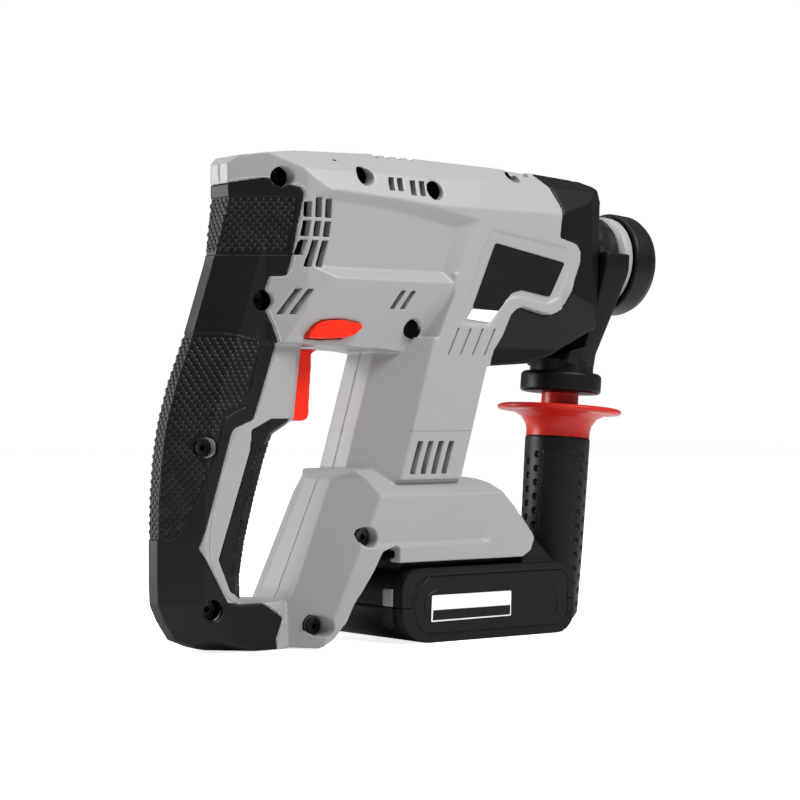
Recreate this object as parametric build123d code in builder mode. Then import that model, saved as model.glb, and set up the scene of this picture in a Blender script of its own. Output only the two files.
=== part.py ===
"""Cordless rotary hammer, L-shaped, with a D-handle, a slide battery and an auxiliary handle.

X runs forward towards the chuck, Y to the tool's left, Z up. The tool stands on its battery and foot.
Lengths are in millimetres. "a" is a distance forward along the spindle from the auxiliary handle's
axis, and "r" is a height above the spindle.
"""
from build123d import *
import math
import os

os.makedirs("parts", exist_ok=True)

# ---- driving dimensions ----
fit = 0.05                  # radial clearance of a running fit
gap = 0.3                   # clearance between bodies that pass each other
wall = 3.0                  # housing wall
rubber = 2.4                # soft grip thickness

tip_a = 45.9                # how far the chuck's tip stands ahead of the auxiliary handle's axis
pitch = 4.5                 # the spindle dips towards the chuck, degrees
nose_x = 101.3              # where the auxiliary handle's axis meets the spindle
nose_z = 189.7

body_w = 33.0               # half-width of the upper body
leg_w = 33.0
leg_back_w = 10.5           # half-width of the leg's flat rear face
bay_w = 38.5                # half-width of the battery bay and battery
panel_w = 28.5              # half-width of the sunk panels on the upper body's sides
bay_panel_w = 36.3          # half-width of the sunk panels on the battery bay's sides
grip_w = 17.0               # half-width of the rear grip
spine_w = 4.0               # half-width of the flat spine down the grip's back
top_w = 12.0                # half-width of the body's flat top
case_w = 30.0               # half-width of the gear case
foot_w = 22.0

bay_floor = 38.5            # lower edge of the battery bay
battery_top = 35.5
battery_back = -35.8
battery_front = 72.4

cos_p = math.cos(math.radians(pitch))
sin_p = math.sin(math.radians(pitch))
forward = Vector(cos_p, 0, -sin_p)
upward = Vector(sin_p, 0, cos_p)
nose = Vector(nose_x, 0, nose_z)
spindle_axis = Axis(nose, forward)
along = Plane(origin=nose, x_dir=forward, z_dir=(0, -1, 0))     # sketches in (a, r)


def across(a):
    """Plane square to the spindle at a: sketch x is +Y, sketch y is up."""
    return Plane(origin=nose + forward * a, x_dir=(0, 1, 0), z_dir=forward)


def level(a, r):
    """Plane parallel to the spindle, facing up: sketch x is forward, sketch y is +Y."""
    return Plane(origin=nose + forward * a + upward * r, x_dir=forward, z_dir=upward)


def upright_axis(a):
    return Axis(nose + forward * a, upward)


def save(name, part):
    part.label = name
    export_step(part, "parts/" + name + ".step")


def prism(points, half_width):
    """Solid between -half_width and +half_width over an outline of (x, z) points."""
    with BuildPart() as block:
        with BuildSketch(Plane.XZ):
            with BuildLine():
                Polyline(*points, close=True)
            make_face()
        extrude(amount=half_width, both=True)
    return block.part


def turned(points, axis=spindle_axis, plane=along):
    """Solid of revolution over (a, r) points."""
    with BuildPart() as block:
        with BuildSketch(plane):
            with BuildLine():
                Polyline(*points, close=True)
            make_face()
        revolve(axis=axis)
    return block.part


def tube(a0, a1, outer, inner=0.0):
    """Round tube or rod on the spindle axis from a0 to a1."""
    return turned([(a0, inner), (a1, inner), (a1, outer), (a0, outer)])


def post(a, r0, r1, radius, hole=0.0):
    """Round post square to the spindle, from height r0 to r1."""
    with BuildPart() as block:
        with BuildSketch(level(a, r0)):
            Circle(radius)
            if hole > 0:
                Circle(hole, mode=Mode.SUBTRACT)
        extrude(amount=r1 - r0)
    return block.part


def box(x0, x1, y0, y1, z0, z1):
    """Upright box between the given limits."""
    with BuildPart() as block:
        with Locations(((x0 + x1) / 2, (y0 + y1) / 2, (z0 + z1) / 2)):
            Box(x1 - x0, y1 - y0, z1 - z0)
    return block.part


# ---- outer form of the housing, before it is parted into pieces ----

def slab(outline, z0, z1, way=(0, 0, 1)):
    """Solid over a plan outline of (x, y) points, from height z0 to z1, leaning along way."""
    with BuildPart() as block:
        with BuildSketch(Plane.XY.offset(z0)):
            with BuildLine():
                Polyline(*outline, close=True)
            make_face()
        extrude(amount=(z1 - z0) / abs(Vector(*way).normalized().Z), dir=Vector(*way).normalized())
    return block.part


def mirrored(points):
    """Closed outline from its -Y half: the same points again with Y turned round."""
    return points + [(x, -y) for x, y in reversed(points)]


# upper body: side outline, cut to its section and to its plan
body_side = prism(
    [(-113, 224), (-108, 227.5), (-80, 231), (-36, 232.8), (0, 232), (36, 231), (64, 229.5),
     (92, 227), (98.5, 224.5), (103, 217), (98.2, 152), (72, 138), (56, 133.5), (24, 131.5),
     (-33, 139), (-86, 141), (-129, 141), (-118, 180), (-112.5, 208)], body_w)
with BuildPart() as body_section:
    with BuildSketch(Plane.YZ.offset(-160)):
        with BuildLine():
            Polyline(*[(y, z) for z, y in mirrored(
                [(240, -top_w), (233, -top_w), (222, -27), (208, -body_w),
                 (172, -body_w), (141, -22), (128, -22)])], close=True)
        make_face()
    extrude(amount=300)
body_plan = slab(mirrored([(-150, -spine_w), (-118, -spine_w), (-82, -28), (-66, -body_w),
                           (70, -body_w), (92, -case_w), (110, -21)]), 120, 250)


def opposite(part):
    """The same piece on the tool's other side."""
    return part.mirror(Plane.XZ)


def side_loft(faces):
    """Ruled solid between side outlines: (distance from the centre plane, (x, z) points), on the right."""
    with BuildPart() as block:
        for y, points in faces:
            with BuildSketch(Plane.XZ.offset(y)):
                with BuildLine():
                    Polyline(*points, close=True)
                make_face()
        loft(ruled=True)
    return block.part


# sunk side panel: a bevel band above it, a ledge below it and a ramp up to the front part
panel_cut = side_loft([
    (panel_w, [(-100, 210.5), (-32.8, 204.5), (4.6, 198.5), (-3.8, 176.4), (-100, 176.4)]),
    (body_w + 0.4, [(-100, 217.6), (-32.8, 211.6), (17.9, 203), (0.8, 170), (-100, 170)])])
# the front part keeps its full width down to the leg
front_block = side_loft([
    (20, [(-21.7, 131), (-5.2, 166), (-5.2, 176), (70, 176), (70, 131)]),
    (body_w, [(-15.7, 131), (0.8, 166), (0.8, 176), (70, 176), (70, 131)])]) & body_side
upper_form = (body_side & body_section.part & body_plan) - panel_cut - opposite(panel_cut)

# leg: leans back as it goes down, with a flat rear face and slanted flanks
lean = math.radians(16.8)
leg_way = (math.sin(lean), 0, math.cos(lean))
leg_form = slab(mirrored([(-50, -leg_back_w), (-32, -leg_w), (4, -leg_w), (10, -24)]), 77, 145, leg_way)

# battery bay: a hood over the battery, and behind it a sloped guard that runs down to the foot
bay_side = prism(
    [(-57, 78), (-50, 82), (7, 82), (10, 78), (17.8, 77), (24, 75), (28, 71.5), (34.5, 62.5),
     (45.2, 49.9), (46.4, 47.5), (44, 41.5), (38.8, bay_floor), (-37, bay_floor), (-37, 46.4),
     (-41, 46.1), (-46.8, 44), (-51.5, 35.8), (-63, 20.2), (-67, 12.6), (-73.8, 5), (-80, 1),
     (-98, 0.6), (-98, 16), (-84, 19), (-80, 26)], bay_w)
guard_run = (57 - 82) / (78 - 26)            # how far the guard goes back for each mm of height
guard_plan = mirrored([(-57, -leg_back_w), (-42.5, -36), (-34, -bay_w), (120, -bay_w)])
guard_high = slab(guard_plan, 78, 85)
guard_low = slab([(x - 82 * -guard_run, y) for x, y in guard_plan], -4, 78, (-guard_run, 0, 1))
with BuildPart() as bay_section:
    with BuildSketch(Plane.YZ.offset(-160)):
        with BuildLine():
            Polyline(*[(y, z) for z, y in mirrored(
                [(90, -20), (82, -21), (77, -28), (70, -bay_panel_w), (66, -bay_w), (-5, -bay_w)])], close=True)
        make_face()
    extrude(amount=300)
bay_cut = side_loft([
    (bay_panel_w, [(-60, 47.6), (-60, 90), (45.4, 90), (13.6, 47.6)]),
    (bay_w + 0.4, [(-60, 46.2), (-60, 90), (58, 90), (19, 46.2)])])
bay_form = (bay_side & (guard_high + guard_low) & bay_section.part) - bay_cut - opposite(bay_cut)


def grip_slice(z, back, front, half_width, inset=0.0):
    """Horizontal slice of the rear grip: a narrow spine that widens to the sides."""
    b = back + inset
    f = front - inset
    w = half_width - inset
    with BuildSketch(Plane.XY.offset(z)) as slice_face:
        with BuildLine():
            Polyline(*mirrored([(b, -(spine_w - inset / 2)), (b + 17, -w), (f - 6, -w), (f, -w + 5)]), close=True)
        make_face()
    return slice_face.sketch


grip_slices = [
    (22, -147.5, -109), (34, -148, -109), (50, -148, -106.3), (70, -147.5, -101), (87, -146.2, -95.8),
    (99, -144.4, -91.3), (106, -143, -79), (121.5, -138.5, -77.2), (146, -129, -74),
    (180, -117.8, -74), (209, -112.5, -74)]
foot_slices = [(0.5, -123), (2.0, -129), (5.5, -138), (14.5, -144), (22, -147.5)]


def grip_loft(inset):
    with BuildPart() as block:
        for z, back, front in grip_slices:
            add(grip_slice(z, back, front, grip_w, inset))
        loft(ruled=True)
    return block.part


def foot_loft(inset):
    with BuildPart() as block:
        for z, back in foot_slices:
            if z > inset * 2.1:
                add(grip_slice(z, back, -84, grip_w + (22 - z) * 0.2, inset))
        loft(ruled=True)
    return block.part


grip_form = grip_loft(0.0) + foot_loft(0.0)
housing_form = upper_form + leg_form + bay_form + grip_form

# seams, as outlines in side view
seam_soft = prism(
    [(-170, 214), (-112, 214.5), (-98, 217), (-88.5, 213.5), (-84.5, 212.5), (-83.5, 210), (-84, 206),
     (-86, 194.5), (-88, 181), (-90, 172), (-96.6, 171.8), (-98.6, 165), (-98.2, 155.5), (-95.5, 149),
     (-93, 139.6), (-95.5, 132), (-100, 119), (-104, 108), (-105, 105.7), (-114.5, 102),
     (-116.5, 100), (-133, 47.6), (-118.5, 22.6), (-112, 21.8), (-100, 21.8), (-89.5, 14.6),
     (-94.5, 4.9), (-95, -10), (-170, -10)], 60)
seam_pad = prism(
    [(-105.5, 101), (-106.3, 92), (-123.4, 42.4), (-117, 27.6), (-109, 24), (-90, 60), (-80, 100),
     (-85, 106), (-95, 106)], 60)
seam_case = prism(
    [(62, 240), (62, 232), (69.8, 213.5), (70.5, 210.6), (68.5, 196.4), (80.5, 194), (84, 190),
     (83.3, 185), (73.8, 163), (67, 159.3), (62.5, 157.7), (57, 158.6), (44, 161.2), (40, 160),
     (36.3, 157), (31.2, 147), (25.5, 139.6), (23.5, 134.7), (22, 120), (130, 120), (130, 240)], 60)

# ---- inside room ----
motor_a = -106.0
motor_r = 19.5              # radius of the motor's stator
gear_step = 25.0
crank_a = motor_a - gear_step
cross_a = motor_a + gear_step


def room(a0, a1, half_width, r0, r1):
    """Box-shaped hollow square to the spindle."""
    with BuildPart() as block:
        with BuildSketch(level((a0 + a1) / 2, r0)):
            Rectangle(a1 - a0, 2 * half_width)
        extrude(amount=r1 - r0)
    return block.part


drive_room = room(-166, -92, panel_w - 2.5, -30, 4) + room(-92, -41, 28, -30, 4)
drive_room = drive_room + room(-166, -41, 20, 4, 25) + tube(-84, -66, 26.2)
drive_room = drive_room + room(-158, -59, 22, -53, -30)
motor_room = post(motor_a, -124, -53, motor_r + 1.4)
switch_room = box(-108, -78.6, -11.5, 11.5, 106.5, 139)
slider_points = [(-80.8, 143.5), (-79.6, 146), (-76.3, 149.6), (-72.3, 151.5), (-62.6, 152.3), (-51, 150.7),
                 (-50.4, 148.8), (-53.9, 145.9), (-59.7, 143.9), (-71.2, 143.2)]
with BuildPart() as slider_hole:
    with BuildSketch(Plane.XZ):
        with BuildLine():
            Polyline(*slider_points, close=True)
        make_face()
        offset(amount=gap, kind=Kind.INTERSECTION)
    extrude(amount=40, both=True)
knob_x = -12.0
knob_z = 188.0
knob_r = 15.6
knob_plane = Plane(origin=(knob_x, 0, knob_z), x_dir=(1, 0, 0), z_dir=(0, 1, 0))


def peg(y0, y1, radius, hole=0.0):
    """Round peg along +Y at the mode knob."""
    with BuildPart() as block:
        with BuildSketch(knob_plane.offset(y0)):
            Circle(radius)
            if hole > 0:
                Circle(hole, mode=Mode.SUBTRACT)
        extrude(amount=y1 - y0)
    return block.part


knob_pocket = peg(28.6, 50, knob_r + gap)
knob_seat = peg(panel_w - 1.5, 31.5, knob_r + 3)
lens_points = [(36.5, 60.2), (42.5, 53.1), (40.5, 51.4), (34.5, 58.5)]
lens = prism(lens_points, 6)
trigger_room = box(-84.8, -60, -7.3, 7.3, 104.6, 139.6)
board_room = box(-32, 22, -26, 26, 50, 64)
battery_channel = box(-45, 60, -30, 30, 30, 47.8)
rail_slot = box(-45, 60, -33.5, 33.5, 40.6, 44.2)
rooms = drive_room + motor_room + switch_room + slider_hole.part + trigger_room + board_room
rooms = rooms + battery_channel + rail_slot + knob_pocket + lens + tube(-60, -4, 24.0)

# ---- soft parts ----
grip_core = grip_loft(rubber)
upper_core = upper_form & slab(mirrored([(-150, -0.5), (-113, -1.5), (-80, -25), (-64, -29.5), (0, -29.5)]),
                               120, 214)
# it stays under the soft skin at the grip's rear face
upper_core = upper_core & prism([(-126.6, 120), (-126.6, 141), (-115.6, 180), (-110.1, 208), (-110, 230), (0, 230),
                                 (0, 120)], 60)
soft_form = housing_form & seam_soft
core_form = (grip_core & seam_soft) + (upper_core & seam_soft) + (foot_loft(rubber) & seam_soft)
pad_core = grip_loft(rubber) & seam_pad
pad_form = grip_form & seam_pad
nose_form = upper_form & seam_case
front_pad_form = slab([(7.6, -25.4), (7.6, 25.4), (14, 25.4), (14, -25.4)], 94, 136, leg_way) & leg_form
front_pad_form = front_pad_form - seam_case

# ---- cuts in the side walls, all on the right and mirrored to the left ----

def bar(x0, z0, x1, z1, width, y0, y1):
    """Slanted slot through the right side wall: the middles of its top and bottom edges, and its width."""
    h = width / 2
    return side_loft([(y, [(x0 - h, z0), (x0 + h, z0), (x1 + h, z1), (x1 - h, z1)]) for y in (y0, y1)])


def row(count, step, x0, z0, x1, z1, width, y0, y1):
    """Like slots, side by side."""
    return [bar(x0 + step * i, z0, x1 + step * i, z1, width, y0, y1) for i in range(count)]


slots = []
# air inlets behind the panel: three columns, each parted by two bridges
for x, top, low in ((-82.2, 206.2, 181.5), (-76.6, 208.4, 176.1), (-71.0, 208.0, 176.2)):
    slots.append(bar(x + 0.5, top, x, 199, 2.9, 24.5, 40))
    slots.append(bar(x, 197.4, x - 1.3, 190.3, 2.9, 24.5, 40))
    slots.append(bar(x - 1.6, 188, x - 1.6 - (188 - low) * 0.33, low, 3.1, 24.5, 40))
slots = slots + row(2, 4.9, -85.4, 166.1, -92.9, 154.2, 2.2, 21, 40)
slots = slots + row(2, 6.0, -28.8, 166.8, -33.6, 158.1, 2.2, 21, 40)
slots = slots + row(2, 5.2, -34.1, 220.0, -35.2, 214.2, 2.5, 27, 40)
slots = slots + row(2, 5.5, -21.5, 219.3, -22.7, 212.6, 2.5, 27, 40)
slots = slots + row(4, 6.3, -20.2, 95.1, -25.2, 80.2, 2.6, 29, 40)
slots = slots + row(4, 7.5, 2.9, 149.8, -3.7, 137.0, 0.9, body_w - 0.9, 40)
with BuildPart() as top_slots:
    for i in range(4):
        with BuildSketch(Plane.XY.offset(224)):
            with Locations((-31.5 + 7.0 * i, -11.5)):
                Rectangle(2.0, 7, rotation=-36)
        extrude(amount=14)
# shallow field for the side plate, inside a raised border
plate_field = side_loft([(y, [(24.5, 198.5), (56, 194), (75.5, 191.2), (78, 185.5), (66.5, 166), (59.8, 163),
                              (41.5, 166), (33.8, 164.5), (26.8, 156.8), (21.5, 151), (3.5, 151.8), (10.5, 168),
                              (17.8, 188)]) for y in (body_w - 1.0, 40)])
# a fine parting line round the leg
leg_core = slab(mirrored([(-49.2, -leg_back_w), (-31.5, -leg_w + 0.7), (3.6, -leg_w + 0.7), (9.3, -23.6)]),
                77, 145, leg_way)
leg_line = (leg_form - leg_core) & box(-80, 60, -60, 0.5, 99.8, 100.4)
# screw pockets that open through the top's chamfers
pockets = []
for a, y in ((-57.5, -17.5), (-10.5, -17.0)):
    with BuildPart() as pocket:
        with BuildSketch(Plane(origin=nose + forward * a + upward * 37.5 + Vector(0, y, 0), x_dir=(0, 1, 0),
                               z_dir=forward)):
            Circle(4.2)
        extrude(amount=13)
    pockets.append(pocket.part)
cuts = plate_field + leg_line + top_slots.part
for slot in slots + pockets:
    cuts = cuts + slot

# housing screws: (x, z, distance of the head's seat from the centre plane)
screw_seats = [(-91.5, 217.5, 9), (-100, 160.5, 9), (-129, 93.2, 9), (-126.6, 19.9, 9), (-49, 220, 16),
               (-9, 215.4, 16), (-53, 51, 28), (-77.7, 10.9, 24)]
head_r = 3.6
shank_r = 2.0
with BuildPart() as screw_holes:
    for x, z, seat in screw_seats:
        with BuildSketch(Plane.XZ.offset(seat)):
            with Locations((x, z)):
                Circle(4.7)
        extrude(amount=60 - seat)
        with BuildSketch(Plane.XZ.offset(-8)):
            with Locations((x, z)):
                Circle(shank_r + fit)
        extrude(amount=60)
with BuildPart() as screw_bosses:
    for x, z, seat in screw_seats[4:6]:
        with BuildSketch(Plane.XZ):
            with Locations((x, z)):
                Circle(6.5)
        extrude(amount=30, both=True)
piston_run = tube(-125, -90, 14.5)
with BuildPart() as blind_hole:
    with BuildSketch(Plane.XZ.offset(22.9)):
        with Locations((-19.3, 149.2)):
            Circle(4.4)
    extrude(amount=20)
recesses = screw_holes.part + blind_hole.part
with BuildPart() as housing_screws:
    for x, z, seat in screw_seats:
        with BuildSketch(Plane.XZ.offset(-7.5)):
            with Locations((x, z)):
                Circle(shank_r)
        extrude(amount=7.5 + seat)
        with BuildSketch(Plane.XZ.offset(seat)):
            with Locations((x, z)):
                Circle(head_r)
                RegularPolygon(1.6, 6, mode=Mode.SUBTRACT)
        extrude(amount=2.4)
save("housing_screws", housing_screws.part)

with BuildPart() as soft_grip:
    add(soft_form)
    add(core_form, mode=Mode.SUBTRACT)
    add(rooms, mode=Mode.SUBTRACT)
    add(recesses, mode=Mode.SUBTRACT)
save("soft_grip", soft_grip.part)

with BuildPart() as finger_pad:
    add(pad_form)
    add(pad_core, mode=Mode.SUBTRACT)
    add(seam_soft, mode=Mode.SUBTRACT)
save("finger_pad", Part() + finger_pad.part.solids().sort_by(SortBy.VOLUME)[-1])

shell_form = housing_form - seam_soft - seam_case - seam_pad + core_form + pad_core
shell_form = shell_form + (housing_form & seam_case) - nose_form
shell_form = shell_form + (front_block + opposite(front_block) - seam_case) + (knob_seat & body_section.part)
shell_form = shell_form - front_pad_form
shell_form = shell_form - rooms + ((screw_bosses.part & upper_form) - piston_run) - recesses
shell_form = shell_form - cuts - opposite(cuts)
save("housing_right", shell_form & box(-200, 200, -60, 0, -10, 260))
save("housing_left", shell_form & box(-200, 200, 0, 60, -10, 260))

collar_r = 21.5
collar_a = 17.5
with BuildPart() as gear_case:
    add(nose_form)
    add(rooms, mode=Mode.SUBTRACT)
    add(tube(-4.5, collar_a, collar_r))
    add(tube(-10, 30, 15.0), mode=Mode.SUBTRACT)
    add(pockets[1] + opposite(pockets[1]), mode=Mode.SUBTRACT)
save("gear_case", gear_case.part)

save("front_pad", front_pad_form)


# ---- spindle and chuck ----
cyl_r = 14.05
tool_r = 5.0
cap_r = 11.5
ball_r = 3.5
ball_a = 29.0
ball_seat = 8.6             # a released locking ball's centre, measured from the spindle's axis
cap_a = tip_a - 7.0         # where the dust cap meets the sleeve
with BuildPart() as spindle:
    add(turned([(-100, cyl_r), (-36, cyl_r), (-36, 8.05), (-4, 8.05), (-4, tool_r), (tip_a - 1.4, tool_r),
                (tip_a - 1.4, 8.5), (cap_a - 0.9, 9.5), (cap_a - 5.9, 13), (-33, 13), (-33, 17), (-100, 17)]))
    with BuildSketch(Plane(origin=nose + forward * ball_a, x_dir=forward, z_dir=(0, 1, 0))):
        Circle(ball_r + fit)
    extrude(amount=20, both=True, mode=Mode.SUBTRACT)
save("spindle", spindle.part)
for side, y in (("right", -ball_seat), ("left", ball_seat)):
    with BuildPart() as ball:
        with Locations(nose + forward * ball_a + Vector(0, y, 0)):
            Sphere(ball_r)
    save("locking_ball_" + side, ball.part)

with BuildPart() as spindle_gear:
    add(turned([(-81, 17.0), (-69, 17.0), (-69, 22), (-72, 25.4), (-76.4, 25.4), (-79.4, 22), (-81, 21)]))
save("spindle_gear", spindle_gear.part)

with BuildPart() as front_bearing:
    add(tube(-28, -18, 23.95, 13 + fit))
save("front_bearing", front_bearing.part)

with BuildPart() as rear_bearing:
    add(tube(-60, -50, 22, 17 + fit))
    add(room(-60, -50, 19.95, 14, 24.9))
    add(room(-60, -50, 27.9, -29.9, -14))
    add(tube(-61, -49, 17 + fit), mode=Mode.SUBTRACT)
save("bearing_bridge", rear_bearing.part)

sleeve_travel = 5.5
guide_r = 24.0
with BuildPart() as guide_ring:
    add(turned([(18.0, 13), (25.2, 13), (25.2, guide_r), (20, guide_r), (18.0, guide_r - 2.5)]))
save("guide_ring", guide_ring.part)

with BuildPart() as sleeve:
    add(turned([(25.9, guide_r + 0.3), (cap_a - 5.4, guide_r + 0.3), (cap_a - 5.4, 13 + fit), (cap_a - 0.4, 13 + fit),
                (cap_a - 0.4, 15.5), (tip_a - 1.7, 14.5), (tip_a - 0.9, 15.5), (tip_a - 2.1, 20), (tip_a - 4.9, 24.6),
                (tip_a - 8.9, 26.5), (26.9, 26.5), (25.9, 26.0)]))
save("locking_sleeve", sleeve.part)

with BuildPart() as sleeve_spring:
    add(tube(25.2, 27.4, 17, 14.2))
save("sleeve_spring", sleeve_spring.part)

with BuildPart() as dust_cap:
    add(turned([(cap_a, 9.4), (tip_a - 1.3, 8.6), (tip_a - 1.3, 5.2), (tip_a, 5.2), (tip_a, cap_r),
                (tip_a - 2.4, 13.2), (cap_a, 13.2)]))
save("dust_cap", dust_cap.part)

with BuildPart() as beat_piece:
    add(turned([(-34, 0), (-34, 5), (-30, 5), (-28, 8), (-12, 8), (-10, 4.6), (-4.5, 4.6), (-4.5, 0)]))
save("beat_piece", beat_piece.part)

with BuildPart() as striker:
    add(turned([(-66, 0), (-66, 13), (-64, 14), (-52, 14), (-50, 13), (-50, 9), (-40, 7), (-40, 0)]))
save("striker", striker.part)

wrist_a = -88.0
pin_throw = 8.0
rod_length = wrist_a - crank_a - pin_throw
with BuildPart() as piston:
    add(turned([(-98, 14), (-98, 10), (-80, 10), (-80, 0), (-76, 0), (-76, 13.2), (-78, 14)]))
    add(post(wrist_a, -10.5, 10.5, 3))
save("piston", piston.part)

rod_bore = 3 + fit
with BuildPart() as connecting_rod:
    with BuildSketch(level((wrist_a + crank_a + pin_throw) / 2, -3)):
        Rectangle(rod_length, 6)
        with Locations((-rod_length / 2, 0)):
            Circle(6)
    extrude(amount=6)
    add(post(wrist_a, -4, 4, 5.5))
    add(post(wrist_a, -10, 10, rod_bore), mode=Mode.SUBTRACT)
    with BuildSketch(level(crank_a + pin_throw, -5)):
        Circle(3.2)
    extrude(amount=12, mode=Mode.SUBTRACT)
save("connecting_rod", connecting_rod.part)

with BuildPart() as crank:
    add(post(crank_a, -48, -12, 5))
    add(post(crank_a, -12, -6, 13))
    add(post(crank_a, -41, -35, 19.9))
    add(post(crank_a + pin_throw, -6, -3.4, 3.1))
save("crank", crank.part)

with BuildPart() as crank_bearing:
    add(post(crank_a, -30, -20, 9, 5 + fit))
    add(room(crank_a - 28, crank_a + 11, panel_w - 2.6, -29.9, -24))
    add(post(crank_a, -31, -19, 5 + fit), mode=Mode.SUBTRACT)
save("crank_bridge", crank_bearing.part)

with BuildPart() as cross_shaft:
    add(post(cross_a, -50, -31, 5))
    add(post(cross_a, -41, -35, 19.9))
    with BuildSketch(level(cross_a, -31)):
        Circle(9)
    with BuildSketch(level(cross_a, -26)):
        Circle(6)
    loft()
save("cross_shaft", cross_shaft.part)

with BuildPart() as shaft_plate:
    add(room(-146, -62.5, 21.9, -52.9, -49))
    add(post(crank_a, -49, -44, 9))
    add(post(cross_a, -49, -44, 9))
    add(post(crank_a, -60, -20, 5 + fit), mode=Mode.SUBTRACT)
    add(post(cross_a, -60, -20, 5 + fit), mode=Mode.SUBTRACT)
    add(post(motor_a, -60, -20, 8.2), mode=Mode.SUBTRACT)
save("shaft_plate", shaft_plate.part)

# ---- motor ----
with BuildPart() as stator:
    add(post(motor_a, -108, -62, motor_r, 13.0))
save("stator", stator.part)
with BuildPart() as rotor:
    add(post(motor_a, -120, -42, 3))
    add(post(motor_a, -106, -64, 12.7))
    add(post(motor_a, -43, -33, 4.9))
save("rotor", rotor.part)
with BuildPart() as fan:
    add(post(motor_a, -61.5, -59.5, motor_r, 3))
    with BuildSketch(level(motor_a, -59.5)):
        with PolarLocations(12.0, 9):
            Rectangle(13, 1.4)
    extrude(amount=4.5)
save("fan", fan.part)
with BuildPart() as pinion_bearing:
    add(post(motor_a, -53.4, -46.5, 8, 3 + fit))
save("pinion_bearing", pinion_bearing.part)
with BuildPart() as end_bearing:
    add(post(motor_a, -121, -114, motor_r + 1.3, 3 + fit))
save("end_bearing", end_bearing.part)

# ---- auxiliary handle ----
strap_r = collar_r + fit
boss_r = -60.0
disc_r = boss_r - 10.5      # the base disc's lower face
hang_a = 1.5                # the grip's axis stands this far ahead of the gear case's face


level_side = Plane(origin=nose + forward * hang_a, x_dir=forward, z_dir=(0, -1, 0))


def column(profile):
    """Turned shape on the auxiliary handle's axis, over (radius, r) points."""
    return turned(profile, upright_axis(hang_a), level_side)


with BuildPart() as saddle_side:
    with BuildSketch(along):
        with BuildLine():
            Polyline((1, 2), (17.2, 2), (17.2, -10), (10, -50), (10, -57), (-9, -57), (-9, -50.5), (1, -47.2),
                     close=True)
        make_face()
    extrude(amount=40, both=True)
with BuildPart() as saddle_front:
    with BuildSketch(across(-30)):
        with BuildLine():
            Polyline((-30.5, 2), (-30.5, -6), (-17, -50), (-16, -57), (16, -57), (17, -50), (30.5, -6),
                     (30.5, 2), close=True)
        make_face()
    extrude(amount=70)
lug_room = room(2.2, 15.8, 3.3, -51, -20) + room(-3.8, 15.8, 6.3, -52.3, -47.0)
clamp_form = (saddle_side.part & saddle_front.part) + post(hang_a, boss_r, -54, 16.4)
with BuildPart() as clamp_saddle:
    add(clamp_form)
    add(tube(-5, 30, 23.0 + fit), mode=Mode.SUBTRACT)
    add(lug_room, mode=Mode.SUBTRACT)
    add(post(hang_a, -70, -45, 4.1), mode=Mode.SUBTRACT)
save("clamp_saddle", clamp_saddle.part)

with BuildPart() as clamp_strap:
    add(tube(2.5, 15.5, 23.0, strap_r))
    add(room(2.5, 15.5, 3, -50, -22.5))
    add(room(-3.5, 15.5, 6, -52, -47.6))
    add(post(hang_a, -54, -46, 4.0 + fit), mode=Mode.SUBTRACT)
save("clamp_strap", clamp_strap.part)

with BuildPart() as clamp_bolt:
    add(post(hang_a, -120, -47.6, 4))
save("clamp_bolt", clamp_bolt.part)

with BuildPart() as base_disc:
    add(column([(4.1, disc_r), (19.9, disc_r), (20.9, disc_r + 1), (20.9, boss_r - 1.5), (19.5, boss_r - 0.05),
                (4.1, boss_r - 0.05)]))
save("base_disc", base_disc.part)

guard_top = disc_r - 7.1    # the guard's flange
grip_top = guard_top - 15.9
grip_end = -187.5
with BuildPart() as guard:
    add(column([(4.1, disc_r - gap), (9.6, disc_r - gap), (9.6, guard_top), (30, guard_top), (32, guard_top - 0.9),
                (32, guard_top - 2.4), (31, guard_top - 3.1), (24, guard_top - 3.6), (19.6, guard_top - 6),
                (17.2, guard_top - 9.5), (16.4, guard_top - 13), (16.4, grip_top), (4.1, grip_top)]))
save("guard", guard.part)

with BuildPart() as side_grip:
    add(column([(4.1, grip_top - 0.05), (16.4, grip_top - 0.05), (16.8, grip_top - 1), (16.2, -150),
                (15.4, -183), (13.6, -186.3), (10.5, grip_end), (0, grip_end), (0, -121), (4.1, -121)]))
save("side_grip", side_grip.part)

# ---- controls ----
with BuildPart() as trigger:
    with BuildSketch(Plane.XZ):
        with BuildLine():
            Polyline((-61.5, 139), (-65.8, 136.6), (-67.6, 132.8), (-68.6, 119.6), (-69.2, 108), (-70.2, 106),
                     (-72.4, 105.1), (-77.9, 105.1), (-79.5, 108), (-90, 108), (-90, 137), (-77, 137),
                     (-76, 139), close=True)
        make_face()
    extrude(amount=6.9, both=True)
save("trigger", trigger.part)

slider = prism(slider_points, 27.5)
save("direction_slider", slider)

with BuildPart() as switch_module:
    add(box(-107.4, -96.6, -11, 11, 107, 138))
save("switch_module", switch_module.part)

with BuildPart() as mode_knob:
    add(peg(30.1, 33.6, knob_r, 3.4))
    with BuildSketch(knob_plane.offset(33.6)):
        SlotOverall(30, 9)
        Circle(3.4, mode=Mode.SUBTRACT)
    extrude(amount=4.4)
save("mode_knob", mode_knob.part)
with BuildPart() as knob_button:
    add(peg(31, 38.3, 3.2))
save("knob_button", knob_button.part)

save("lamp_lens", lens)

# ---- battery ----
def rounded(points, half_width):
    """Prism over an outline of (x, z, corner radius) points."""
    with BuildPart() as block:
        with BuildSketch(Plane.XZ) as face:
            with BuildLine():
                Polyline(*[(x, z) for x, z, r in points], close=True)
            make_face()
            for x, z, r in points:
                if r > 0:
                    fillet(face.vertices().sort_by_distance((x, z, 0))[0], r)
        extrude(amount=half_width, both=True)
    return block.part


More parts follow.
